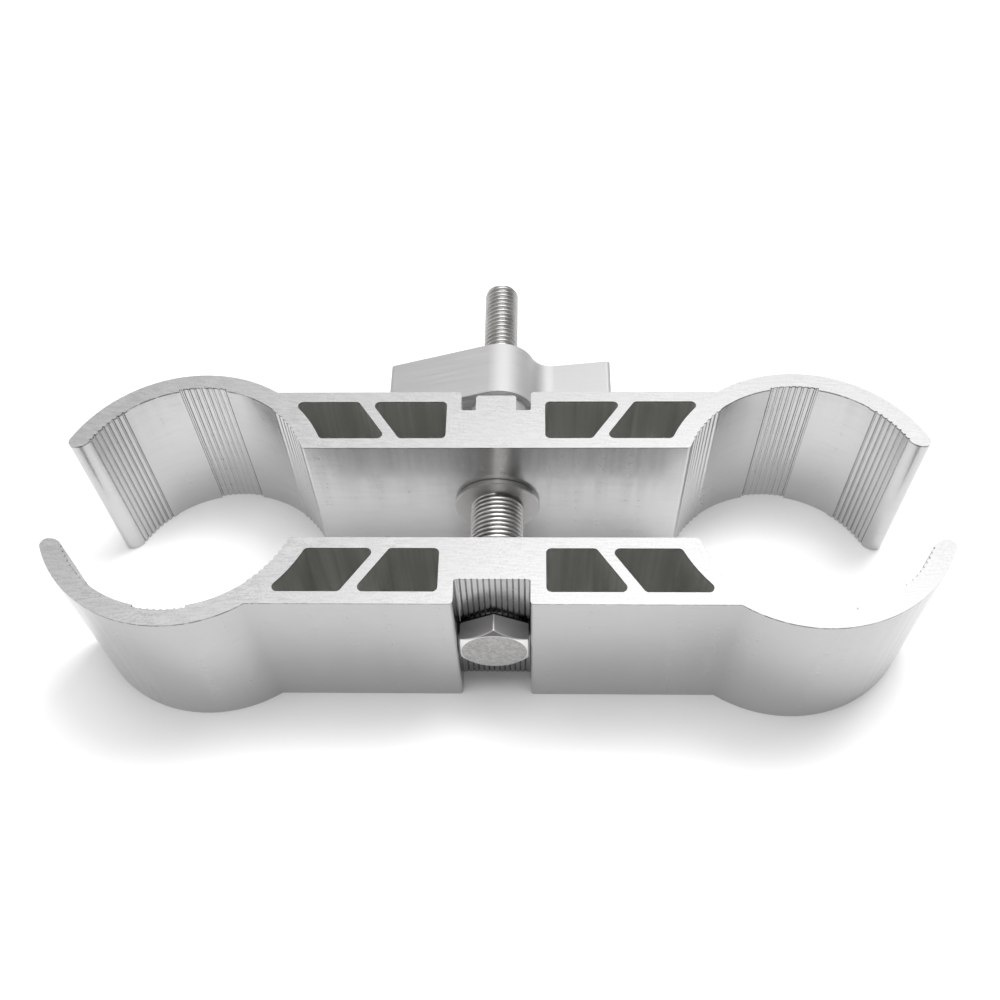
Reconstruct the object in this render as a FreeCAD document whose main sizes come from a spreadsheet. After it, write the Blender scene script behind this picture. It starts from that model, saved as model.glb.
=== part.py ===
import FreeCAD, Part
import math
import os

import Sketcher

# Leg clamp: two sawn lengths of hollow aluminium extrusion, drawn together by one bolt
# and a wing nut, hold two round legs side by side. Lengths are in millimetres.
# X runs along the jaws, Y along the bolt from its head to the nut, Z up.
# The origin lies under the bolt, in the middle of the front jaw's web, on the sawn base.

doc = FreeCAD.newDocument("LegClamp")

# The extrusion and what it holds
extrusion = {
    "jaw_height": 50.0,
    "jaw_depth": 18.0,
    "leg_diameter": 60.0,
    "leg_spacing": 153.6,
    "seat_offset": 11.1,
    "arc_wall": 5.0,
    "tip_setback": 0.4,
    "tip_rounding": 1.8,
    "lip_rounding": 3.8,
    "shoulder_rounding": 0.8,
    "rest_gap": 26.5,
}

# The four hollow chambers of each jaw
chambers = {
    "web_width": 25.3,
    "inner_wall": 3.0,
    "outer_wall": 3.2,
    "rib_width": 3.1,
    "rib_foot": 26.1,
    "rib_head": 34.1,
    "chamber_rounding": 1.3,
}

# The bands of each seat. Angles are measured round the leg from the jaw's outward normal,
# towards the tip; depths and pitches are measured from the crests, which touch the leg.
bands = {
    "plain_depth": 0.25,
    "root_band_end": -39.6,
    "root_first_tooth": -42.3,
    "root_tooth_pitch": 3.2,
    "root_teeth": 7,
    "root_tooth_depth": 0.3,
    "root_tooth_mouth": 1.1,
    "root_tooth_floor": 0.1,
    "recess_start": -11.1,
    "recess_end": 12.5,
    "recess_depth": 0.85,
    "recess_ribs": 8,
    "recess_rib_height": 0.2,
    "recess_rib_top": 0.3,
    "recess_rib_foot": 0.75,
    "tip_band_start": 38.2,
    "tip_first_tooth": 42.0,
    "tip_tooth_pitch": 2.95,
    "tip_teeth": 8,
    "tip_tooth_depth": 0.42,
    "tip_tooth_mouth": 0.72,
    "tip_tooth_floor": 0.15,
}

# The bolt, its groove in the front jaw and the groove with a land in the rear one
bolting = {
    "thread_diameter": 10.0,
    "bolt_length": 115.0,
    "point_chamfer": 0.6,
    "head_flats": 17.0,
    "head_height": 6.4,
    "head_face_diameter": 16.2,
    "head_chamfer_angle": 30.0,
    "head_clearance": 0.5,
    "hole_clearance": 0.5,
    "head_groove_depth": 6.5,
    "mouth_rounding": 0.9,
    "floor_cuts_per_side": 6,
    "floor_cut_width": 0.45,
    "floor_cut_depth": 0.3,
    "land_groove_depth": 6.0,
    "land_width": 10.4,
    "land_drop": 1.2,
    "land_rounding": 0.8,
}

# Washers and the spring between the jaws
springing = {
    "washer_diameter": 22.6,
    "washer_thickness": 1.5,
    "washer_clearance": 0.25,
    "washer_chamfer": 0.25,
    "wire_diameter": 1.1,
    "spring_bore_clearance": 0.6,
    "spring_turns": 16,
}

# The wing nut
nut = {
    "hub_radius": 10.0,
    "hub_length": 17.3,
    "neck_radius": 8.0,
    "neck_length": 13.8,
    "thread_clearance": 0.05,
    "bearing_gap": 0.1,
    "wing_reach": 31.9,
    "wing_top_slope": 17.8,
    "wing_under_slope": 7.6,
    "wing_tip_thickness": 2.6,
    "wing_tip_rounding": 1.1,
    "wing_fillet": 6.0,
}

sheet = doc.addObject("Spreadsheet::Sheet", "Sizes")
sizes = {**extrusion, **chambers, **bands, **bolting, **springing, **nut}
for row, (name, figure) in enumerate(sizes.items(), 1):
    sheet.set(f"A{row}", name)
    sheet.set(f"B{row}", str(figure))
    sheet.setAlias(f"B{row}", name)
doc.recompute()

# Places that several pieces share, as expressions on the sheet
SEAT_X = "Sizes.leg_spacing / 2"
CREST_RADIUS = "Sizes.leg_diameter / 2"
PLAIN_RADIUS = "(Sizes.leg_diameter / 2 + Sizes.plain_depth)"
RECESS_RADIUS = "(Sizes.leg_diameter / 2 + Sizes.recess_depth)"
ARC_RADIUS = "(Sizes.leg_diameter / 2 + Sizes.arc_wall)"
GROOVE_HALF = "(Sizes.head_flats / 2 + Sizes.head_clearance)"
FRONT_INNER = "(Sizes.jaw_depth - Sizes.head_groove_depth) / 2"
REAR_INNER = f"({FRONT_INNER} + Sizes.rest_gap)"
BOLT_Z = "Sizes.jaw_height / 2"

# Choices that a feature's own lists give by number
THROUGH_ALL = 1
WHOLE_SHAPE = 1

# How near to its drawn place an edge has to be, to be taken for the one that is meant
CLOSE = 0.01


def amount(expression):
    """The present value of an expression on the sheet."""
    return float(sheet.evalExpression(expression))


def new_body(name):
    body = doc.addObject("PartDesign::Body", name)
    body.Label = name
    return body


def origin_feature(body, role):
    return next(item for item in body.Origin.OriginFeatures if item.Role == role)


def new_sketch(body, name, role):
    """A sketch on one of the body's own origin planes."""
    sketch = body.newObject("Sketcher::SketchObject", f"{body.Name}_{name}")
    sketch.AttachmentSupport = [(origin_feature(body, role), "")]
    sketch.MapMode = "FlatFace"
    return sketch


def bind_point(sketch, element, end, x, y):
    """Tie one point of a sketch to two expressions, measured from the sketch's origin."""
    for kind, expression in (("DistanceX", x), ("DistanceY", y)):
        constraint = Sketcher.Constraint(kind, -1, 1, element, end, amount(expression))
        index = sketch.addConstraint(constraint)
        sketch.setExpression(f"Constraints[{index}]", expression)


def bind_radius(sketch, element, radius):
    index = sketch.addConstraint(Sketcher.Constraint("Radius", element, amount(radius)))
    sketch.setExpression(f"Constraints[{index}]", radius)


def add_circle(sketch, x, y, radius):
    centre = FreeCAD.Vector(amount(x), amount(y), 0)
    circle = Part.Circle(centre, FreeCAD.Vector(0, 0, 1), amount(radius))
    element = sketch.addGeometry(circle)
    bind_point(sketch, element, 3, x, y)
    bind_radius(sketch, element, radius)


def arc_between(start, end, radius, turn):
    """The arc under half a turn from start to end: turn is 1 anticlockwise, -1 clockwise."""
    chord = end - start
    rise = math.sqrt(radius ** 2 - chord.Length ** 2 / 4)
    left = FreeCAD.Vector(-chord.y, chord.x, 0).normalize()
    centre = (start + end) / 2 + left * rise * turn
    first, last = (start, end) if turn > 0 else (end, start)
    angles = [math.atan2(point.y - centre.y, point.x - centre.x) for point in (first, last)]
    circle = Part.Circle(centre, FreeCAD.Vector(0, 0, 1), radius)
    return Part.ArcOfCircle(circle, *angles)


def add_contour(sketch, corners):
    """A closed outline. Each corner is (x, y), or (x, y, radius, turn) where an arc follows."""
    count = len(corners)
    places = [FreeCAD.Vector(amount(corner[0]), amount(corner[1]), 0) for corner in corners]
    ends = []
    for index, corner in enumerate(corners):
        start, end = places[index], places[(index + 1) % count]
        if len(corner) == 2:
            element = sketch.addGeometry(Part.LineSegment(start, end))
            ends.append((element, 1, 2))
        else:
            turn = corner[3]
            element = sketch.addGeometry(arc_between(start, end, amount(corner[2]), turn))
            ends.append((element, 1, 2) if turn > 0 else (element, 2, 1))
    for index in range(count):
        element, first, last = ends[index]
        follower, follower_first, _ = ends[(index + 1) % count]
        sketch.addConstraint(Sketcher.Constraint("Coincident", element, last, follower, follower_first))
    for corner, (element, first, _) in zip(corners, ends):
        bind_point(sketch, element, first, corner[0], corner[1])
        if len(corner) > 2:
            bind_radius(sketch, element, corner[2])


def feature(body, kind, name, sketch=None, **settings):
    """One PartDesign feature. A setting given as text is bound to the sheet."""
    made = body.newObject(f"PartDesign::{kind}", f"{body.Name}_{name}")
    if sketch is not None:
        made.Profile = sketch
        sketch.Visibility = False
    for key, setting in settings.items():
        if isinstance(setting, str):
            made.setExpression(key, setting)
        else:
            setattr(made, key, setting)
    body.Tip = made
    doc.recompute()
    return made


def cut_through(body, name, sketch, reverse):
    """A pocket through everything, which has to take material away."""
    before = body.Shape.Volume
    made = feature(body, "Pocket", name, sketch, Type=THROUGH_ALL, Reversed=reverse)
    if made.Shape.Volume > before - 1.0:
        raise RuntimeError(f"{made.Name} cuts nothing")
    return made


def edges_where(shape, test):
    """Names of the straight edges whose two ends both pass the test."""
    names = []
    for number, edge in enumerate(shape.Edges, 1):
        ends = [vertex.Point for vertex in edge.Vertexes]
        if len(ends) == 2 and edge.Curve.TypeId == "Part::GeomLine" and all(test(*end) for end in ends):
            names.append(f"Edge{number}")
    return names


def upright_edges(shape, test):
    """Straight edges along Z at the places (x, y) that pass the test."""
    names = []
    for name in edges_where(shape, lambda x, y, z: test(x, y)):
        low, high = (vertex.Point for vertex in shape.getElement(name).Vertexes)
        if math.hypot(high.x - low.x, high.y - low.y) < 1e-6:
            names.append(name)
    return names


def seat_point(angle, radius):
    """A place on an arc round the right-hand leg, at an angle from the jaw's outward normal."""
    return (f"{SEAT_X} + ({radius}) * sin({angle})", f"({radius}) * cos({angle}) - Sizes.seat_offset")


def arc_cut_x(radius, depth, side):
    """Where an arc round the right-hand leg crosses a depth: side -1 towards the bolt, 1 away."""
    return f"{SEAT_X} + {side} * sqrt(({radius}) ^ 2 - (({depth}) + Sizes.seat_offset) ^ 2)"


def half_section(sketch, groove):
    """The right half of the extrusion's section. Y is the depth from the inner face outward."""
    bands_from_root = (
        ("Sizes.root_band_end", PLAIN_RADIUS),
        ("Sizes.recess_start", RECESS_RADIUS),
        ("Sizes.recess_end", PLAIN_RADIUS),
        ("Sizes.tip_band_start", CREST_RADIUS),
    )
    radius = CREST_RADIUS
    corners = [("0", "0"), (arc_cut_x(radius, "0", -1), "0", radius, -1)]
    for angle, next_radius in bands_from_root:
        corners.append(seat_point(angle, radius))
        corners.append((*seat_point(angle, next_radius), next_radius, -1))
        radius = next_radius
    corners += [
        (arc_cut_x(CREST_RADIUS, "Sizes.tip_setback", 1), "Sizes.tip_setback"),
        (arc_cut_x(ARC_RADIUS, "Sizes.tip_setback", 1), "Sizes.tip_setback", ARC_RADIUS, 1),
        (arc_cut_x(ARC_RADIUS, "Sizes.jaw_depth", -1), "Sizes.jaw_depth"),
        *groove,
        ("0", groove[-1][1]),
    ]
    add_contour(sketch, corners)


def half_chambers(sketch):
    """Two chambers beside the solid middle, with a slanting rib between them."""
    low, high = "Sizes.inner_wall", "(Sizes.jaw_depth - Sizes.outer_wall)"
    web = "Sizes.web_width / 2"
    half_rib = "Sizes.rib_width / 2"
    inner = [
        (web, low),
        (f"Sizes.rib_foot - {half_rib}", low),
        (f"Sizes.rib_head - {half_rib}", high),
        (web, high),
    ]
    outer = [
        (f"Sizes.rib_foot + {half_rib}", low),
        (arc_cut_x(ARC_RADIUS, low, -1), low, ARC_RADIUS, -1),
        (arc_cut_x(ARC_RADIUS, high, -1), high),
        (f"Sizes.rib_head + {half_rib}", high),
    ]
    add_contour(sketch, inner)
    add_contour(sketch, outer)


def head_groove():
    """Half of the groove that takes the bolt's head between its walls."""
    return [(GROOVE_HALF, "Sizes.jaw_depth"), (GROOVE_HALF, "Sizes.jaw_depth - Sizes.head_groove_depth")]


def land_groove():
    """Half of the same groove as extruded, with the land that runs along its floor."""
    floor = "Sizes.jaw_depth - Sizes.land_groove_depth"
    return [
        (GROOVE_HALF, "Sizes.jaw_depth"),
        (GROOVE_HALF, floor),
        ("Sizes.land_width / 2", floor),
        ("Sizes.land_width / 2", "Sizes.jaw_depth - Sizes.land_drop"),
    ]


def seat_sketch(body, name):
    """A sketch across the jaw with its origin on the right-hand leg's axis."""
    sketch = new_sketch(body, name, "XY_Plane")
    sketch.setExpression("AttachmentOffset.Base.x", SEAT_X)
    sketch.setExpression("AttachmentOffset.Base.y", "-Sizes.seat_offset")
    return sketch


def add_wedge(sketch, angle, near_radius, near_half, far_radius, far_half):
    """A small trapezium that points away from the leg's axis, at an angle round it."""
    ends = ((near_radius, near_half, -1), (near_radius, near_half, 1))
    ends += ((far_radius, far_half, 1), (far_radius, far_half, -1))
    corners = []
    for radius, half, hand in ends:
        along, across = f"({radius})", f"{hand} * ({half})"
        x = f"{along} * sin({angle}) + {across} * cos({angle})"
        y = f"{along} * cos({angle}) - {across} * sin({angle})"
        corners.append((x, y))
    add_contour(sketch, corners)


def repeat_round_leg(body, original, sketch, count, pitch, clockwise):
    feature(
        body, "PolarPattern", f"{original.Name}_row",
        Originals=[original], Axis=(sketch, ["N_Axis"]), Reversed=clockwise,
        Angle=f"({count} - 1) * ({pitch})", Occurrences=count,
    )


def cut_teeth(body, band):
    """The grooves between the teeth of the band at the seat's root or tip."""
    sketch = seat_sketch(body, f"{band}_tooth_section")
    depth = f"Sizes.{band}_tooth_depth"
    floor = f"Sizes.{band}_tooth_floor / 2"
    open_mouth = f"Sizes.{band}_tooth_mouth - {floor}"
    first = f"Sizes.{band}_first_tooth"
    add_wedge(sketch, first, f"{CREST_RADIUS} - {depth}", open_mouth, f"{CREST_RADIUS} + {depth}", floor)
    groove = cut_through(body, f"{band}_tooth", sketch, True)
    repeat_round_leg(body, groove, sketch, f"Sizes.{band}_teeth", f"Sizes.{band}_tooth_pitch", band == "tip")


def add_recess_ribs(body):
    """The fine ribs that stand on the floor of the recess in the middle of the seat."""
    sketch = seat_sketch(body, "recess_rib_section")
    pitch = "(Sizes.recess_end - Sizes.recess_start) / Sizes.recess_ribs"
    height = "Sizes.recess_rib_height"
    top = "Sizes.recess_rib_top / 2"
    sunk_foot = f"Sizes.recess_rib_foot - {top}"
    first = f"(Sizes.recess_start + {pitch} / 2)"
    add_wedge(sketch, first, f"{RECESS_RADIUS} - {height}", top, f"{RECESS_RADIUS} + {height}", sunk_foot)
    rib = feature(body, "Pad", "recess_rib", sketch, Length="Sizes.jaw_height")
    repeat_round_leg(body, rib, sketch, "Sizes.recess_ribs", pitch, True)


def mill_groove_floor(body):
    """Milling marks along the floor under the bolt's head."""
    marks = new_sketch(body, "floor_cut_section", "XY_Plane")
    pitch = f"({GROOVE_HALF} / (Sizes.floor_cuts_per_side + 0.5))"
    floor = "Sizes.jaw_depth - Sizes.head_groove_depth"
    add_contour(marks, [
        (f"{pitch} / 2 - Sizes.floor_cut_width / 2", floor),
        (f"{pitch} / 2 + Sizes.floor_cut_width / 2", floor),
        (f"{pitch} / 2", f"{floor} - Sizes.floor_cut_depth"),
    ])
    cut = cut_through(body, "floor_cut", marks, True)
    feature(
        body, "LinearPattern", "floor_cut_row",
        Originals=[cut], Direction=(marks, ["H_Axis"]),
        Length=f"(Sizes.floor_cuts_per_side - 1) * {pitch}", Occurrences="Sizes.floor_cuts_per_side",
    )


def round_corners(body, label, place_x, place_y, radius):
    """Round the upright edge at one place of the section."""
    x, y = amount(place_x), amount(place_y)
    corners = upright_edges(body.Shape, lambda at_x, at_y: math.hypot(at_x - x, at_y - y) < CLOSE)
    feature(body, "Fillet", label, Base=(body.Tip, corners), Radius=radius)


def make_jaw(name, groove):
    """One jaw: its right half, which is then mirrored, and the hole for the bolt."""
    body = new_body(name)
    section = new_sketch(body, "section", "XY_Plane")
    half_section(section, groove)
    feature(body, "Pad", "length", section, Length="Sizes.jaw_height")

    hollows = new_sketch(body, "chambers", "XY_Plane")
    half_chambers(hollows)
    cut_through(body, "hollows", hollows, True)
    root = amount(arc_cut_x(ARC_RADIUS, "Sizes.jaw_depth - Sizes.outer_wall", -1)) + CLOSE
    low = amount("Sizes.inner_wall") - CLOSE
    high = amount("Sizes.jaw_depth - Sizes.outer_wall") + CLOSE
    web = amount("Sizes.web_width / 2") - CLOSE
    corners = upright_edges(body.Shape, lambda x, y: web < x < root and low < y < high)
    feature(body, "Fillet", "chamber_corners", Base=(body.Tip, corners), Radius="Sizes.chamber_rounding")

    # The corners of the groove's floor stay within the clearance beside the bolt's head
    setback = "Sizes.tip_setback"
    round_corners(body, "tip", arc_cut_x(ARC_RADIUS, setback, 1), setback, "Sizes.tip_rounding")
    round_corners(body, "lip", arc_cut_x(CREST_RADIUS, setback, 1), setback, "Sizes.lip_rounding")
    round_corners(body, "shoulder", arc_cut_x(CREST_RADIUS, "0", -1), "0", "Sizes.shoulder_rounding")
    round_corners(body, "groove_mouth", GROOVE_HALF, "Sizes.jaw_depth", "Sizes.mouth_rounding")
    round_corners(body, "groove_floor", GROOVE_HALF, groove[1][1], "Sizes.head_clearance")
    if name == "rear_jaw":
        round_corners(body, "land", *groove[-1], "Sizes.land_rounding")
    else:
        mill_groove_floor(body)
    cut_teeth(body, "root")
    add_recess_ribs(body)
    cut_teeth(body, "tip")

    middle = origin_feature(body, "YZ_Plane")
    feature(body, "Mirrored", "left_half", MirrorPlane=(middle, [""]), TransformMode=WHOLE_SHAPE)
    hole = new_sketch(body, "hole", "XZ_Plane")
    add_circle(hole, "0", BOLT_Z, "Sizes.thread_diameter / 2 + Sizes.hole_clearance")
    cut_through(body, "bolt_hole", hole, False)
    return body


def make_front_jaw():
    body = make_jaw("front_jaw", head_groove())
    body.Placement.Rotation = FreeCAD.Rotation(FreeCAD.Vector(0, 0, 1), 180)
    body.setExpression("Placement.Base.y", FRONT_INNER)
    return body


def make_rear_jaw():
    body = make_jaw("rear_jaw", land_groove())
    body.setExpression("Placement.Base.y", REAR_INNER)
    return body


def make_bolt():
    """Hexagon bolt: its seat is at the body's origin, its shank runs along +Y."""
    body = new_body("clamp_bolt")
    shank = new_sketch(body, "shank", "XZ_Plane")
    add_circle(shank, "0", "0", "Sizes.thread_diameter / 2")
    feature(body, "Pad", "thread", shank, Length="Sizes.bolt_length", Reversed=True)
    rim = [
        f"Edge{number}"
        for number, edge in enumerate(body.Shape.Edges, 1)
        if len(edge.Vertexes) == 1 and edge.CenterOfMass.y > 1.0
    ]
    feature(body, "Chamfer", "point", Base=(body.Tip, rim), Size="Sizes.point_chamfer")

    head = new_sketch(body, "hexagon", "XZ_Plane")
    corner = "Sizes.head_flats / sqrt(3)"
    add_contour(head, [(f"{corner} * sin({60 * k})", f"{corner} * cos({60 * k})") for k in range(6)])
    feature(body, "Pad", "head", head, Length="Sizes.head_height")

    # The cone that takes the corners off the head's front face
    cone = new_sketch(body, "corner_cone", "YZ_Plane")
    face = "Sizes.head_face_diameter / 2"
    beyond = "Sizes.head_flats"
    add_contour(cone, [
        ("-Sizes.head_height", face),
        ("-Sizes.head_height", beyond),
        (f"({beyond} - {face}) * tan(Sizes.head_chamfer_angle) - Sizes.head_height", beyond),
    ])
    axis = origin_feature(body, "Y_Axis")
    before = body.Shape.Volume
    cut = feature(body, "Groove", "corner_chamfer", cone, ReferenceAxis=(axis, [""]), Angle=360.0)
    if cut.Shape.Volume > before - 1.0:
        raise RuntimeError("the head's corners are not chamfered")
    body.setExpression("Placement.Base.y", f"{FRONT_INNER} - (Sizes.jaw_depth - Sizes.head_groove_depth)")
    body.setExpression("Placement.Base.z", BOLT_Z)
    return body


def make_washer(name, place):
    """A flat washer whose front face is at the given place along Y."""
    body = new_body(name)
    ring = new_sketch(body, "ring", "XZ_Plane")
    add_circle(ring, "0", "0", "Sizes.washer_diameter / 2")
    add_circle(ring, "0", "0", "Sizes.thread_diameter / 2 + Sizes.washer_clearance")
    feature(body, "Pad", "thickness", ring, Length="Sizes.washer_thickness", Reversed=True)
    outer = amount("Sizes.washer_diameter / 2")
    rims = [
        f"Edge{number}"
        for number, edge in enumerate(body.Shape.Edges, 1)
        if edge.Curve.TypeId == "Part::GeomCircle" and abs(edge.Curve.Radius - outer) < CLOSE
    ]
    feature(body, "Chamfer", "edges", Base=(body.Tip, rims), Size="Sizes.washer_chamfer")
    body.setExpression("Placement.Base.y", place)
    body.setExpression("Placement.Base.z", BOLT_Z)
    return body


def make_spring():
    """Compression spring round the bolt, as a ruled skin through many small octagons."""
    sides = 8
    steps_per_turn = 16
    wire = amount("Sizes.wire_diameter")
    coil = amount("Sizes.thread_diameter / 2 + Sizes.spring_bore_clearance") + wire / 2
    room = amount("Sizes.rest_gap - 2 * Sizes.washer_thickness")
    turns = int(amount("Sizes.spring_turns"))
    pitch = (room - wire) / turns
    corner = wire / 2 / math.cos(math.pi / sides)

    def octagon(turn):
        angle = 2 * math.pi * turn
        points = []
        for side in range(sides + 1):
            around = math.pi * (2 * side + 1) / sides
            radius = coil + corner * math.cos(around)
            along = wire / 2 + pitch * turn + corner * math.sin(around)
            points.append(FreeCAD.Vector(radius * math.sin(angle), along, radius * math.cos(angle)))
        return Part.makePolygon(points)

    rings = [octagon(step / steps_per_turn) for step in range(turns * steps_per_turn + 1)]
    spring = doc.addObject("Part::Feature", "return_spring")
    spring.Label = "return_spring"
    spring.Shape = Part.makeLoft(rings, True, True)
    base = FreeCAD.Vector(0, amount(f"{FRONT_INNER} + Sizes.washer_thickness"), amount(BOLT_Z))
    spring.Placement = FreeCAD.Placement(base, FreeCAD.Rotation())
    return spring


def wing_section(sketch):
    """The nut's S-shaped section: each wing leaves the hub along a tangent."""
    hub, reach, fillet = "Sizes.hub_radius", "Sizes.wing_reach", "Sizes.wing_fillet"
    top, under = "Sizes.wing_top_slope", "Sizes.wing_under_slope"
    tip_top = f"({hub} / cos({top}) - {reach} * tan({top}))"
    tip_under = f"({tip_top} - Sizes.wing_tip_thickness)"
    crossing = f"(({tip_under} + {reach} * tan({under})) * cos({under}))"
    lean = f"({under} + asin(({fillet} - {crossing}) / ({hub} + {fillet})) / 1 deg)"
    half = [
        (f"-{hub} * sin({top})", f"{hub} * cos({top})", hub, -1),
        (f"{hub} * cos({lean})", f"{hub} * sin({lean})", fillet, 1),
        (
            f"({hub} + {fillet}) * cos({lean}) + {fillet} * sin({under})",
            f"({hub} + {fillet}) * sin({lean}) - {fillet} * cos({under})",
        ),
        (reach, f"-{tip_under}"),
        (reach, f"-{tip_top}"),
    ]
    other = [(f"-({corner[0]})", f"-({corner[1]})", *corner[2:]) for corner in half]
    add_contour(sketch, half + other)


def make_wing_nut():
    """Wing nut: its bearing face is at the body's origin, its neck and hub run along +Y."""
    body = new_body("wing_nut")
    neck = new_sketch(body, "neck", "XZ_Plane")
    add_circle(neck, "0", "0", "Sizes.neck_radius")
    feature(body, "Pad", "neck_length", neck, Length="Sizes.neck_length", Reversed=True)

    section = new_sketch(body, "section", "XZ_Plane")
    section.setExpression("AttachmentOffset.Base.z", "-Sizes.neck_length")
    wing_section(section)
    feature(body, "Pad", "hub_length", section, Length="Sizes.hub_length", Reversed=True)

    reach = amount("Sizes.wing_reach")
    tips = edges_where(body.Shape, lambda x, y, z: abs(abs(x) - reach) < CLOSE)
    tips = [name for name in tips if body.Shape.getElement(name).Length > amount("Sizes.hub_length") - 0.1]
    rounding = "min(Sizes.wing_tip_rounding; 0.45 * Sizes.wing_tip_thickness)"
    feature(body, "Fillet", "wing_tips", Base=(body.Tip, tips), Radius=rounding)

    bore = new_sketch(body, "bore", "XZ_Plane")
    add_circle(bore, "0", "0", "Sizes.thread_diameter / 2 + Sizes.thread_clearance")
    cut_through(body, "thread", bore, False)
    body.setExpression(
        "Placement.Base.y",
        f"{REAR_INNER} + Sizes.jaw_depth - Sizes.land_drop + Sizes.bearing_gap",
    )
    body.setExpression("Placement.Base.z", BOLT_Z)
    return body


parts = [
    make_front_jaw(),
    make_rear_jaw(),
    make_bolt(),
    make_washer("front_washer", FRONT_INNER),
    make_washer("rear_washer", f"{REAR_INNER} - Sizes.washer_thickness"),
    make_spring(),
    make_wing_nut(),
]
doc.recompute()

for item in doc.Objects:
    if "Invalid" in item.State or "Error" in item.State:
        raise RuntimeError(f"{item.Name} failed: {item.State}")
for part in parts:
    if part.Shape.isNull() or not part.Shape.isValid():
        raise RuntimeError(f"{part.Label} has no valid shape")

os.makedirs("parts", exist_ok=True)
for part in parts:
    part.Shape.exportStep(f"parts/{part.Label}.step")
    print(part.Label, len(part.Shape.Solids), "solid", round(part.Shape.Volume / 1000, 2), "cm3")
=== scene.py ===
"""Leg clamp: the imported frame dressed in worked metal, with a threaded bolt and a wound spring."""

import math

import bmesh
import bpy
from mathutils import Matrix, Vector


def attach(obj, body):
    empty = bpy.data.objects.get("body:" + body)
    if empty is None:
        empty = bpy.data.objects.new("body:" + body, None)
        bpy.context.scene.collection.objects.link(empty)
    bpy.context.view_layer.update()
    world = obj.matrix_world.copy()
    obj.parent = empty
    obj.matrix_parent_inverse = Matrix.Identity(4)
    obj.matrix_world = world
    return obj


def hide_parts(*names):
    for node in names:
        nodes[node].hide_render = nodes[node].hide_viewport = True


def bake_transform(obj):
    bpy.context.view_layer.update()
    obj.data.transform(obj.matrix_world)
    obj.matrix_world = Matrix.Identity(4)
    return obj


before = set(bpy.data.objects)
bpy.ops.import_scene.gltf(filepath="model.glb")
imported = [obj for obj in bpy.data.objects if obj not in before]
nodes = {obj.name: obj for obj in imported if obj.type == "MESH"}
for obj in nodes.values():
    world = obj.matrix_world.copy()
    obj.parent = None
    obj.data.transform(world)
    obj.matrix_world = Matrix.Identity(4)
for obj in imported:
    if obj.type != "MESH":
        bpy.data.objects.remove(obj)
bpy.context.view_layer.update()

MM = 0.001

# Camera, in millimetres and degrees, fitted to the corners of both jaws.
view = {
    "target": (0.64, 33.13, 25.0),
    "distance": 305.2,
    "elevation": 56.26,
    "azimuth": 3.01,
    "roll": -2.47,
    "lens": 40.64,
    "sensor": 36.0,
}

# Lamps: where they stand and what they face, in metres, then size in metres and power in watts.
lamps = {
    "key": ((0.24, 0.34, 1.05), (0.0, 0.03, 0.0), (0.35, 0.35), 4.8),
    "right": ((0.48, 0.34, 0.95), (0.0, 0.03, 0.0), (0.35, 0.35), 1.8),
    "top": ((0.0, 0.05, 1.1), (0.0, 0.03, 0.0), (0.7, 0.7), 8.8),
    "left": ((-1.1, -0.1, 0.45), (0.0, 0.03, 0.02), (0.8, 0.6), 2.4),
    "front": ((0.0, -0.55, 1.15), (0.0, 0.0, 0.02), (0.3, 0.3), 0.6),
}
WORLD_STRENGTH = 0.22

# Floor, in millimetres.
floor_size = {"half": 3000.0, "top": -0.02}

# Bolt, in millimetres and degrees.
bolt = {
    "axis_height": 25.0,
    "flats": 17.0,
    "face_diameter": 16.2,
    "chamfer_angle": 30.0,
    "head_bottom": -5.75,
    "head_face": -12.15,
    "washer_face_radius": 7.7,
    "washer_face_height": 0.5,
    "edge_round": 0.2,
    "round_above": 20.0,
    "plain_radius": 4.95,
    "plain_into_head": 0.2,
    "crest_radius": 4.93,
    "root_radius": 4.07,
    "pitch": 1.5,
    "thread_start": 5.5,
    "run_out": 0.8,
    "point_chamfer": 1.0,
    "shank_end": 109.25,
}

# Spring, in millimetres.
spring = {
    "outer_diameter": 14.1,
    "wire": 1.05,
    "turns": 18,
    "front": 7.25,
    "rear": 30.75,
}

# Places on the jaws that the finish follows, in metres.
jaw = {
    "front_middle": -0.00325,
    "rear_middle": 0.04125,
    "mid_height": 0.025,
    "seat_x": 0.0768,
    "seat_y": 0.019,
    "seat_wall": 0.0335,
    "chambers_from": 0.0118,
    "chambers_to": 0.0525,
    "chamber_half_depth": 0.0075,
    # Where the painted shadow line under the top edge of the sides lies: where it begins along the
    # arcs, its height above the middle and its width.
    "arcs_begin": (0.050, 0.062),
    "rim_above_middle": (0.02458, 0.02435),
    "rim_width": 0.00028,
}

# Places on the bolt's head that the finish follows, in metres; up and reach from the axis.
head = {
    "flats_y": (-0.00600, -0.00620),
    "face_y": -0.01210,
    # How far up the painted shade on the chamfer near the top corner begins and ends.
    "corner_shade_up": (0.0066, 0.0074),
    # Where the painted shadow strip at the rear of the flats lies.
    "rear_shadow_reach": 0.0080,
    "rear_shadow_y": (-0.00690, -0.00672),
}


# Meshes

def show(name, data):
    """A new object in the scene with this mesh, lamp or camera."""
    made = bpy.data.objects.new(name, data)
    bpy.context.scene.collection.objects.link(made)
    return made


def mesh_object(name, verts, faces, smooth=True):
    """A mesh in metres from points in millimetres."""
    mesh = bpy.data.meshes.new(name)
    mesh.from_pydata([tuple(MM * c for c in v) for v in verts], [], faces)
    mesh.polygons.foreach_set("use_smooth", [smooth] * len(mesh.polygons))
    mesh.update()
    return show(name, mesh)


def on_axis(radius, angle, y):
    """A point beside the bolt's axis; angle 0 points up and grows towards +X."""
    return (radius * math.sin(angle), y, bolt["axis_height"] + radius * math.cos(angle))


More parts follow.
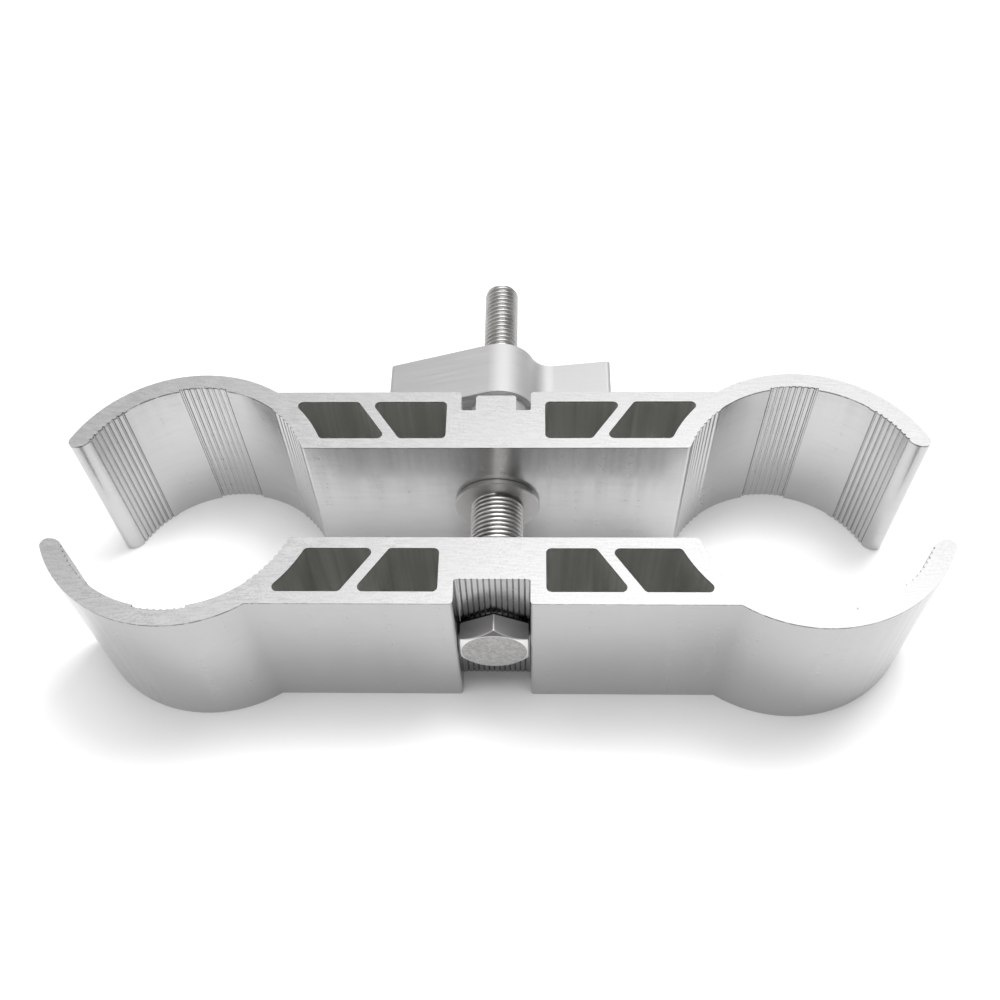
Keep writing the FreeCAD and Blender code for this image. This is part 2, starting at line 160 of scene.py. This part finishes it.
def ring_faces(first, second, count):
    """The faces between two rings of points, given the number of each ring's first point."""
    return [
        (first + i, first + (i + 1) % count, second + (i + 1) % count, second + i)
        for i in range(count)
    ]


def cap_face(first, count, reverse=False):
    """One face across a ring of points."""
    points = [first + i for i in range(count)]
    return tuple(reversed(points)) if reverse else tuple(points)


def bolt_head():
    """A hexagon head with its turned chamfer and washer face, a corner pointing up."""
    steps = 96
    sector = math.radians(60)
    slope = math.tan(math.radians(bolt["chamfer_angle"]))
    face_radius = bolt["face_diameter"] / 2
    face, bottom = bolt["head_face"], bolt["head_bottom"]
    shoulder = bottom - bolt["washer_face_height"]
    verts = []
    rows = []

    def add_row(y, radius=None):
        """A ring at y; without a radius it is the hexagon, and without y it lies on the chamfer."""
        rows.append(len(verts))
        for i in range(steps):
            angle = math.tau * i / steps
            off = (angle % sector) - sector / 2
            r = bolt["flats"] / 2 / math.cos(off) if radius is None else radius
            chamfer = face + max(0.0, r - face_radius) * slope
            verts.append(on_axis(r, angle, chamfer if y is None else y))

    add_row(face, face_radius / 2)
    add_row(face, face_radius)
    add_row(None)
    add_row(shoulder)
    add_row(shoulder, bolt["washer_face_radius"])
    add_row(bottom, bolt["washer_face_radius"])
    add_row(bottom, bolt["plain_radius"])
    faces = [cap_face(rows[0], steps, reverse=True)]
    for first, second in zip(rows, rows[1:]):
        faces += ring_faces(first, second, steps)
    faces.append(cap_face(rows[-1], steps))
    made = mesh_object("bolt_head", verts, faces, smooth=False)
    bevel = made.modifiers.new("edges", "BEVEL")
    bevel.width = bolt["edge_round"] * MM
    bevel.segments = 2
    bevel.limit_method = "ANGLE"
    bevel.angle_limit = math.radians(bolt["round_above"])
    return made


def thread_radius(phase):
    """The thread's radius along one pitch: crest flat, flank, rounded root, flank."""
    crest_width, flank_curve = 1.12, 0.85
    crest, root = bolt["crest_radius"], bolt["root_radius"]
    rise = 0.5 + 0.5 * math.cos(math.tau * phase)
    return root + (crest - root) * min(1.0, crest_width * rise ** flank_curve)


def bolt_thread():
    """A right-hand thread whose points follow the helix, closed at both ends.

    The points past either end are pressed flat onto it, and join() takes them out.
    """
    around = 40
    along = 8
    spare_turns = 2
    pitch = bolt["pitch"]
    start, end = bolt["thread_start"], bolt["shank_end"]
    rows = along * (math.ceil((end - start) / pitch) + spare_turns)
    verts = []
    for k in range(rows + 1):
        for i in range(around):
            y = start + pitch * (k / along - 1 + i / around)
            y = min(max(y, start), end)
            at_start = bolt["root_radius"] + y - start
            at_point = bolt["crest_radius"] - max(0.0, bolt["point_chamfer"] - (end - y))
            radius = min(thread_radius(k / along), at_point, at_start)
            verts.append(on_axis(radius, math.tau * i / around, y))
    faces = []
    for k in range(rows):
        for i in range(around):
            a = k * around + i
            if i + 1 < around:
                faces.append((a, a + 1, a + around + 1, a + around))
            elif k + along + 1 <= rows:
                b = (k + along) * around
                faces.append((a, b, b + around, a + around))
    faces.append(cap_face(0, around, reverse=True))
    faces.append(cap_face(rows * around, around))
    return mesh_object("bolt_thread", verts, faces)


def lathe(name, profile, steps):
    """A body turned about the bolt's axis from (radius, y) pairs."""
    verts = [
        on_axis(radius, math.tau * i / steps, y)
        for radius, y in profile
        for i in range(steps)
    ]
    last = (len(profile) - 1) * steps
    faces = []
    for first in range(0, last, steps):
        faces += ring_faces(first, first + steps, steps)
    faces.append(cap_face(0, steps, reverse=True))
    faces.append(cap_face(last, steps))
    return mesh_object(name, verts, faces)


def join(name, parts):
    """Several objects made into one, modifiers applied and faces without area taken out."""
    whole = bmesh.new()
    depsgraph = bpy.context.evaluated_depsgraph_get()
    for part in parts:
        evaluated = part.evaluated_get(depsgraph)
        whole.from_mesh(evaluated.to_mesh())
        evaluated.to_mesh_clear()
    shortest_edge = 0.0002 * MM
    bmesh.ops.dissolve_degenerate(whole, dist=shortest_edge, edges=whole.edges)
    mesh = bpy.data.meshes.new(name)
    whole.to_mesh(mesh)
    whole.free()
    for part in parts:
        bpy.data.objects.remove(part)
    return show(name, mesh)


def make_bolt():
    """The head, the plain length below it and the thread as one piece."""
    steps = 48
    plain = [
        (bolt["plain_radius"], bolt["head_bottom"] - bolt["plain_into_head"]),
        (bolt["plain_radius"], bolt["thread_start"]),
        (bolt["root_radius"], bolt["thread_start"] + bolt["run_out"]),
    ]
    return join("bolt_threaded", [bolt_head(), lathe("bolt_plain", plain, steps), bolt_thread()])


def make_spring():
    """A wound compression spring with its ends ground flat."""
    steps = 40
    sides = 12
    wire = spring["wire"] / 2
    coil_radius = spring["outer_diameter"] / 2 - wire
    front, rear = spring["front"], spring["rear"]
    count = spring["turns"] * steps
    verts = []
    for k in range(count + 1):
        middle = front + (rear - front) * k / count
        for i in range(sides):
            turn = math.tau * i / sides
            radius = coil_radius + wire * math.cos(turn)
            y = min(max(middle + wire * math.sin(turn), front), rear)
            verts.append(on_axis(radius, math.tau * k / steps, y))
    faces = []
    for k in range(count):
        faces += ring_faces((k + 1) * sides, k * sides, sides)
    faces.append(cap_face(0, sides))
    faces.append(cap_face(count * sides, sides, reverse=True))
    return mesh_object("spring_coil", verts, faces)


# Shader nodes

def node(tree, kind, inputs=None, **settings):
    """A shader node; inputs by name or number take a value or another node's socket."""
    made = tree.nodes.new(kind)
    for key, value in settings.items():
        setattr(made, key, value)
    for key, value in (inputs or {}).items():
        if isinstance(value, bpy.types.NodeSocket):
            tree.links.new(value, made.inputs[key])
        else:
            made.inputs[key].default_value = value
    return made


def calc(tree, operation, *values):
    """One step of arithmetic."""
    made = node(tree, "ShaderNodeMath", dict(enumerate(values)), operation=operation)
    return made.outputs[0]


def product(tree, first, *others):
    """The values multiplied."""
    for value in others:
        first = calc(tree, "MULTIPLY", first, value)
    return first


def apart(tree, value, place):
    """How far a value is from a place, whichever side it is on."""
    return calc(tree, "ABSOLUTE", calc(tree, "SUBTRACT", value, place))


def length(tree, first, second):
    """The length of a flat vector."""
    squares = calc(tree, "ADD", product(tree, first, first), product(tree, second, second))
    return calc(tree, "SQRT", squares)


def ramp(tree, value, low, high, to_low=0.0, to_high=1.0):
    """A smooth step of value between low and high."""
    inputs = {
        "Value": value,
        "From Min": low,
        "From Max": high,
        "To Min": to_low,
        "To Max": to_high,
    }
    made = node(tree, "ShaderNodeMapRange", inputs, interpolation_type="SMOOTHSTEP")
    return made.outputs[0]


def mix(tree, share, first, second):
    """A colour between two, each a colour or a socket."""
    inputs = {0: share, 6: first, 7: second}
    return node(tree, "ShaderNodeMix", inputs, data_type="RGBA").outputs[2]


def mix_value(tree, share, first, second):
    """A number between two, each a number or a socket."""
    inputs = {0: share, 2: first, 3: second}
    return node(tree, "ShaderNodeMix", inputs, data_type="FLOAT").outputs[0]


def split(tree, vector):
    """A vector's three numbers."""
    return node(tree, "ShaderNodeSeparateXYZ", {0: vector}).outputs


def joined(tree, *values):
    """A vector from three numbers."""
    return node(tree, "ShaderNodeCombineXYZ", dict(enumerate(values))).outputs[0]


def at_rest(tree, name):
    """The part's own "Object" coordinates or "Normal", the same in every pose."""
    return tree.nodes.new("ShaderNodeTexCoord").outputs[name]


def facing(tree, along):
    """1 where the surface faces either way along an axis, from that part of its normal."""
    begins, full = 0.85, 0.97
    return ramp(tree, calc(tree, "ABSOLUTE", along), begins, full)


# Noises of the finishes. Each stretch is a number of grains per metre along X, Y and Z, taken
# after a turn in degrees; a plain scale is the same all ways.
noises = {
    "die_lines": {"stretch": (2600, 2600, 14), "detail": 3.0, "roughness": 0.6},
    "streaks": {"stretch": (420, 420, 5)},
    "scratches": {"stretch": (2400, 2400, 60), "turn": (24, 31, 12), "detail": 1.0},
    "smears": {"stretch": (110, 110, 800), "detail": 4.0, "roughness": 0.6},
    "chambers": {"stretch": (230, 230, 7), "detail": 3.0, "roughness": 0.6},
    "rim_breaks": {"stretch": (700, 700, 30)},
    "saw_marks": {"stretch": (260, 1900, 1), "roughness": 0.7},
    "saw_speckle": {"scale": 1900.0, "roughness": 0.7},
    "saw_patches": {"scale": 130.0},
    "nut_lines": {"stretch": (1900, 22, 1900), "detail": 3.0, "roughness": 0.6},
    "nut_satin": {"stretch": (45, 2300, 45), "roughness": 0.6},
    "nut_cuts": {"stretch": (60, 1, 2100), "turn": (0, 12, 0)},
    "turned_rings": {"detail": 3.0, "roughness": 0.6},
    "steel_cloud": {"scale": 160.0, "detail": 4.0, "roughness": 0.6},
    "steel_grain": {"scale": 2600.0, "detail": 3.0, "roughness": 0.7},
    "head_mottle": {"scale": 1100.0, "detail": 3.0, "roughness": 0.7},
    "paper_fibre": {"scale": 900.0, "detail": 3.0},
}

# The range that nearly all of a noise lies in.
SPREAD = (0.3, 0.7)


def noise(tree, place, name):
    """One of the noises, at this place."""
    row = {"scale": 1.0, "detail": 2.0, "roughness": 0.5, "turn": (0, 0, 0), **noises[name]}
    if "stretch" in row:
        angles = tuple(math.radians(a) for a in row["turn"])
        turned = node(tree, "ShaderNodeMapping", {"Vector": place, "Rotation": angles})
        stretched = {"Vector": turned.outputs[0], "Scale": row["stretch"]}
        place = node(tree, "ShaderNodeMapping", stretched).outputs[0]
    inputs = {
        "Vector": place,
        "Scale": row["scale"],
        "Detail": row["detail"],
        "Roughness": row["roughness"],
    }
    return node(tree, "ShaderNodeTexNoise", inputs).outputs["Fac"]


# Materials

def grey(value, warmth=0.0):
    """A near-neutral metal colour; warmth above 0 leans to yellow."""
    return (value * (1 + warmth), value, value * (1 - warmth), 1.0)


# Two colours or numbers are what the low and the high end of a noise give. A share is how much
# of a mark's colour is laid over the rest, and a range is the part of its noise that shows.
jaw_look = {
    "front_side": (grey(0.430), grey(0.455)),
    # The rear jaw's sides are painted lighter than the front jaw's: painted light on one copy of the
    # same metal.
    "rear_side_painted_light": (grey(0.525), grey(0.555)),
    "side_rough": (0.18, 0.26),
    "die_height": 0.4,
    "streak_height": 0.3,
    "smear": grey(0.36, 0.01),
    "smear_range": (0.44, 0.76),
    "smear_share": 0.14,
    "smear_rough": 0.03,
    "scratch": grey(0.60),
    "scratch_range": (0.70, 0.80),
    "scratch_share": 0.5,
    # The chambers' walls are painted lighter than the sides: painted light standing in for the light
    # inside them.
    "chamber_painted_light": ((0.62, 0.625, 0.60, 1.0), (0.82, 0.825, 0.795, 1.0)),
    "chamber_range": (0.34, 0.66),
    "chamber_rough": (0.62, 0.46),
    # Painted shadow: a broken dark line under the top edge of the sides.
    "rim": grey(0.16),
    "rim_range": (0.34, 0.56),
    "rim_shares": (0.35, 1.0),
    "sawn": (grey(0.340), grey(0.495)),
    "sawn_range": (0.36, 0.62),
    "sawn_rough": (0.51, 0.61),
    "sawn_height": 1.2,
    "mark_bow": 3.0,
    "mark_share": 0.5,
    "speckle_share": 0.5,
    "patch": grey(0.425, 0.003),
    "patch_range": (0.35, 0.65),
    "patch_shares": (0.10, 0.45),
    # The rear jaw's sawn faces are painted lighter as well: painted light.
    "rear_sawn_painted_light": grey(0.72),
    "rear_sawn_light_share": 0.12,
    "bump": (0.25, 0.00005),
}
nut_look = {
    "satin": (grey(0.545), grey(0.585)),
    "satin_rough": (0.64, 0.72),
    "line": grey(0.60),
    "line_share": 0.3,
    "line_height": 0.5,
    "sawn": (grey(0.47), grey(0.66)),
    "sawn_rough": (0.50, 0.62),
    "range": (0.36, 0.64),
    "bump": (0.3, 0.00006),
}
steel_looks = {
    "bolt_steel": {
        "tones": (grey(0.43, 0.015), grey(0.51, 0.015)),
        "rough": (0.38, 0.48),
        "turned": 0.2,
        "head": True,
    },
    "washer_steel": {
        "tones": (grey(0.56, 0.015), grey(0.63, 0.015)),
        "rough": (0.34, 0.46),
        "turned": 0.6,
        "head": False,
    },
    "wire_steel": {
        "tones": (grey(0.54, 0.015), grey(0.64, 0.015)),
        "rough": (0.36, 0.46),
        "turned": 0.1,
        "head": False,
    },
}
steel_marks = {
    "rings_out": 2600.0,
    "rings_along": 90.0,
    "grain_height": 0.12,
    "bump": (0.35, 0.00005),
}
# The cone's limits are the normal's part along Y, which tells the chamfer from flats and face.
head_look = {
    "flats": (grey(0.68, 0.01), grey(0.84, 0.01)),
    "flats_rough": 0.42,
    "face": (grey(0.33, 0.01), grey(0.45, 0.01)),
    "face_range": (0.35, 0.65),
    "face_rough": 0.5,
    # Painted shade: the chamfer near the top corner is darkened.
    "corner": grey(0.22, 0.01),
    "cone_starts": (-0.70, -0.82),
    "cone_ends": (-0.93, -0.90),
    # Painted shadow: a near-black strip at the rear of the flats, in the gap against the groove.
    "rear": grey(0.03),
}
paper_look = {
    "tones": (grey(0.93), grey(0.95)),
    "rough": (0.8, 0.9),
    "specular": 0.2,
    "bump": (0.05, 0.00002),
}


def new_material(name):
    """(material, its node tree, its shader), the shader set to metal."""
    material = bpy.data.materials.new(name)
    material.use_nodes = True
    tree = material.node_tree
    shader = tree.nodes["Principled BSDF"]
    shader.inputs["Metallic"].default_value = 1.0
    return material, tree, shader


def finish_shader(tree, shader, finish, bump):
    """The shader shows a (colour, roughness, height) finish, its bump (strength, distance)."""
    colour, roughness, height = finish
    strength, distance = bump
    inputs = {"Height": height, "Strength": strength, "Distance": distance}
    tree.links.new(colour, shader.inputs["Base Color"])
    tree.links.new(roughness, shader.inputs["Roughness"])
    tree.links.new(node(tree, "ShaderNodeBump", inputs).outputs[0], shader.inputs["Normal"])


def either(tree, share, first, second):
    """A finish between two."""
    return (
        mix(tree, share, first[0], second[0]),
        mix_value(tree, share, first[1], second[1]),
        mix_value(tree, share, first[2], second[2]),
    )


def in_chambers(tree, across, y):
    """1 on the walls of the four chambers of either jaw."""
    off_middle = calc(
        tree, "MINIMUM", apart(tree, y, jaw["front_middle"]), apart(tree, y, jaw["rear_middle"])
    )
    from_seat = length(
        tree,
        calc(tree, "SUBTRACT", across, jaw["seat_x"]),
        calc(tree, "SUBTRACT", y, jaw["seat_y"]),
    )
    return product(
        tree,
        calc(tree, "GREATER_THAN", across, jaw["chambers_from"]),
        calc(tree, "LESS_THAN", across, jaw["chambers_to"]),
        calc(tree, "LESS_THAN", off_middle, jaw["chamber_half_depth"]),
        calc(tree, "GREATER_THAN", from_seat, jaw["seat_wall"]),
    )


def top_rim(tree, place, across, z):
    """The broken line of painted shadow where the sides meet the upper sawn face."""
    up = calc(tree, "SUBTRACT", z, jaw["mid_height"])
    low = ramp(tree, across, *jaw["arcs_begin"], *jaw["rim_above_middle"])
    high = calc(tree, "ADD", low, jaw["rim_width"])
    breaks = noise(tree, place, "rim_breaks")
    broken = ramp(tree, breaks, *jaw_look["rim_range"], *jaw_look["rim_shares"])
    return product(tree, ramp(tree, up, low, high), broken)


def jaw_sides(tree, place, rear):
    """The finish of the extruded sides: die lines along Z, smears, rougher chambers with painted
    light, the rear jaw painted lighter, and a painted shadow under the top edge.
    """
    look = jaw_look
    x, y, z = split(tree, place)
    across = calc(tree, "ABSOLUTE", x)
    inside = in_chambers(tree, across, y)
    streaks = noise(tree, place, "streaks")
    chambers = noise(tree, place, "chambers")
    smears = ramp(tree, noise(tree, place, "smears"), *look["smear_range"])
    scratches = noise(tree, place, "scratches")
    scratches = ramp(tree, scratches, *look["scratch_range"], 0.0, look["scratch_share"])

    # The rear jaw's sides get the lighter tone: painted light.
    colour = mix(
        tree, rear, mix(tree, streaks, *look["front_side"]), mix(tree, streaks, *look["rear_side_painted_light"])
    )
    colour = mix(tree, product(tree, smears, look["smear_share"]), colour, look["smear"])
    colour = mix(tree, scratches, colour, look["scratch"])
    # Painted light: the chambers' walls get a lighter colour than the sides.
    painted_chamber_light = mix(tree, ramp(tree, chambers, *look["chamber_range"]), *look["chamber_painted_light"])
    colour = mix(tree, inside, colour, painted_chamber_light)
    # Painted shadow: a broken dark line along the top edge of the sides.
    colour = mix(tree, top_rim(tree, place, across, z), colour, look["rim"])

    roughness = ramp(tree, streaks, *SPREAD, *look["side_rough"])
    roughness = calc(tree, "MULTIPLY_ADD", smears, look["smear_rough"], roughness)
    rough_chamber = ramp(tree, chambers, *SPREAD, *look["chamber_rough"])
    roughness = mix_value(tree, inside, roughness, rough_chamber)
    height = calc(
        tree, "ADD",
        product(tree, noise(tree, place, "die_lines"), look["die_height"]),
        product(tree, streaks, look["streak_height"]),
    )
    return colour, roughness, height


def jaw_ends(tree, place, rear):
    """The finish of the sawn faces: short marks that bow towards the jaws' ends, speckle, and
    painted light on the rear jaw.
    """
    look = jaw_look
    x, y, z = split(tree, place)
    bowed_y = calc(tree, "MULTIPLY_ADD", product(tree, x, y), look["mark_bow"], y)
    marks = noise(tree, joined(tree, x, bowed_y, z), "saw_marks")
    speckle = noise(tree, place, "saw_speckle")
    saw = calc(
        tree, "ADD",
        product(tree, marks, look["mark_share"]),
        product(tree, speckle, look["speckle_share"]),
    )
    patches = noise(tree, place, "saw_patches")
    patches = ramp(tree, patches, *look["patch_range"], *look["patch_shares"])

    colour = mix(tree, ramp(tree, saw, *look["sawn_range"]), *look["sawn"])
    colour = mix(tree, patches, colour, look["patch"])
    # Painted light: the rear jaw's sawn faces are lightened.
    colour = mix(tree, product(tree, rear, look["rear_sawn_light_share"]), colour, look["rear_sawn_painted_light"])
    roughness = ramp(tree, saw, *SPREAD, *look["sawn_rough"])
    return colour, roughness, product(tree, saw, look["sawn_height"])


def jaw_material():
    """Satin extruded sides and sawn upper and lower faces."""
    material, tree, shader = new_material("jaw_aluminium")
    place = at_rest(tree, "Object")
    rear = calc(tree, "GREATER_THAN", split(tree, place)[1], jaw["seat_y"])
    sawn = facing(tree, split(tree, at_rest(tree, "Normal"))[2])
    finish = either(tree, sawn, jaw_sides(tree, place, rear), jaw_ends(tree, place, rear))
    finish_shader(tree, shader, finish, jaw_look["bump"])
    return material


def nut_material():
    """Satin extrusion along the bolt, with sawn ends."""
    look = nut_look
    material, tree, shader = new_material("nut_aluminium")
    place = at_rest(tree, "Object")
    lines = noise(tree, place, "nut_lines")
    satin = noise(tree, place, "nut_satin")
    cuts = noise(tree, place, "nut_cuts")
    colour = mix(tree, ramp(tree, satin, *look["range"]), *look["satin"])
    side = (
        mix(tree, product(tree, lines, look["line_share"]), colour, look["line"]),
        ramp(tree, satin, *SPREAD, *look["satin_rough"]),
        calc(tree, "ADD", product(tree, lines, look["line_height"]), satin),
    )
    end = (
        mix(tree, ramp(tree, cuts, *look["range"]), *look["sawn"]),
        ramp(tree, cuts, *SPREAD, *look["sawn_rough"]),
        cuts,
    )
    sawn = facing(tree, split(tree, at_rest(tree, "Normal"))[1])
    finish_shader(tree, shader, either(tree, sawn, side, end), look["bump"])
    return material


def head_finish(tree, place, up, reach, colour, roughness):
    """The colour and roughness of a shank with the head's flats, chamfer and face laid over, painted
    shade on the chamfer near the top corner and a painted shadow strip at the rear of the flats.
    """
    look = head_look
    y = split(tree, place)[1]
    flats = ramp(tree, y, *head["flats_y"])
    colour = mix(tree, flats, colour, mix(tree, noise(tree, place, "steel_cloud"), *look["flats"]))
    roughness = mix_value(tree, flats, roughness, look["flats_rough"])

    face = calc(tree, "LESS_THAN", y, head["face_y"])
    mottle = ramp(tree, noise(tree, place, "head_mottle"), *look["face_range"])
    colour = mix(tree, face, colour, mix(tree, mottle, *look["face"]))
    roughness = mix_value(tree, face, roughness, look["face_rough"])

    # Painted shade darkens the chamfer near the top corner.
    forward = split(tree, at_rest(tree, "Normal"))[1]
    corner = product(
        tree,
        ramp(tree, forward, *look["cone_starts"]),
        ramp(tree, forward, *look["cone_ends"]),
        ramp(tree, up, *head["corner_shade_up"]),
    )
    colour = mix(tree, corner, colour, look["corner"])
    # Painted shadow: the rear of the flats next to the groove's floor is made near-black.
    wide = calc(tree, "GREATER_THAN", reach, head["rear_shadow_reach"])
    colour = mix(tree, product(tree, wide, ramp(tree, y, *head["rear_shadow_y"])), colour, look["rear"])
    return colour, roughness


def steel_material(name):
    """Plain stainless steel with circular tool marks about the bolt's axis."""
    look = steel_looks[name]
    material, tree, shader = new_material(name)
    place = at_rest(tree, "Object")
    x, y, z = split(tree, place)
    up = calc(tree, "SUBTRACT", z, bolt["axis_height"] * MM)
    reach = length(tree, up, x)
    out = product(tree, reach, steel_marks["rings_out"])
    along = product(tree, y, steel_marks["rings_along"])
    rings = noise(tree, joined(tree, out, along, 0.0), "turned_rings")
    cloud = noise(tree, place, "steel_cloud")
    colour = mix(tree, ramp(tree, cloud, *SPREAD), *look["tones"])
    roughness = ramp(tree, cloud, *SPREAD, *look["rough"])
    if look["head"]:
        colour, roughness = head_finish(tree, place, up, reach, colour, roughness)
    height = calc(
        tree, "ADD",
        product(tree, rings, look["turned"]),
        product(tree, noise(tree, place, "steel_grain"), steel_marks["grain_height"]),
    )
    finish_shader(tree, shader, (colour, roughness, height), steel_marks["bump"])
    return material


def paper_material():
    """Matt pale paper."""
    look = paper_look
    material, tree, shader = new_material("floor_paper")
    shader.inputs["Metallic"].default_value = 0.0
    shader.inputs["Specular IOR Level"].default_value = look["specular"]
    fibre = noise(tree, at_rest(tree, "Object"), "paper_fibre")
    roughness = ramp(tree, fibre, *SPREAD, *look["rough"])
    finish_shader(tree, shader, (mix(tree, fibre, *look["tones"]), roughness, fibre), look["bump"])
    return material


def dress(made, material):
    """The object shows this material all over."""
    if not made.data.materials:
        made.data.materials.append(material)
    for i in range(len(made.data.materials)):
        made.data.materials[i] = material


# Object

jaw_finish = jaw_material()
washer_finish = steel_material("washer_steel")
for name in ("front_jaw", "rear_jaw"):
    dress(nodes[name], jaw_finish)
for name in ("front_washer", "rear_washer"):
    dress(nodes[name], washer_finish)
dress(nodes["wing_nut"], nut_material())

threaded_bolt = make_bolt()
dress(threaded_bolt, steel_material("bolt_steel"))
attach(threaded_bolt, "front")
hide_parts("clamp_bolt")

coil = make_spring()
dress(coil, steel_material("wire_steel"))
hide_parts("return_spring")
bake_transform(coil)


# Floor, light and camera

def make_floor():
    """A wide sheet of paper just under the jaws."""
    half, top = floor_size["half"], floor_size["top"]
    corners = [(-half, -half, top), (half, -half, top), (half, half, top), (-half, half, top)]
    floor = mesh_object("floor", corners, [(0, 1, 2, 3)], smooth=False)
    dress(floor, paper_material())


def make_light(name, place, aim, size, power):
    """A rectangular soft light."""
    lamp = bpy.data.lights.new(name, "AREA")
    lamp.shape = "RECTANGLE"
    lamp.size, lamp.size_y = size
    lamp.energy = power
    made = show(name, lamp)
    made.location = place
    made.rotation_euler = (Vector(aim) - Vector(place)).to_track_quat("-Z", "Y").to_euler()


def make_world():
    """Even white light from all round."""
    world = bpy.data.worlds.new("studio")
    world.use_nodes = True
    background = world.node_tree.nodes["Background"]
    background.inputs["Color"].default_value = (1.0, 1.0, 1.0, 1.0)
    background.inputs["Strength"].default_value = WORLD_STRENGTH
    bpy.context.scene.world = world


def make_camera():
    """The camera at the photo's angle."""
    elevation = math.radians(view["elevation"])
    azimuth = math.radians(view["azimuth"])
    roll = math.radians(view["roll"])
    right = Vector((math.cos(azimuth), math.sin(azimuth), 0))
    back = Vector((
        math.sin(azimuth) * math.cos(elevation),
        -math.cos(azimuth) * math.cos(elevation),
        math.sin(elevation),
    ))
    up = back.cross(right)
    rolled_right = math.cos(roll) * right + math.sin(roll) * up
    rolled_up = math.cos(roll) * up - math.sin(roll) * right
    data = bpy.data.cameras.new("camera")
    data.lens = view["lens"]
    data.sensor_width = view["sensor"]
    turn = Matrix((rolled_right, rolled_up, back)).transposed()
    place = MM * (Vector(view["target"]) + view["distance"] * back)
    camera = show("camera", data)
    camera.matrix_world = Matrix.Translation(place) @ turn.to_4x4()
    bpy.context.scene.camera = camera


make_floor()
for name, lamp in lamps.items():
    make_light(name, *lamp)
make_world()
make_camera()
bpy.context.scene.view_settings.view_transform = "Standard"
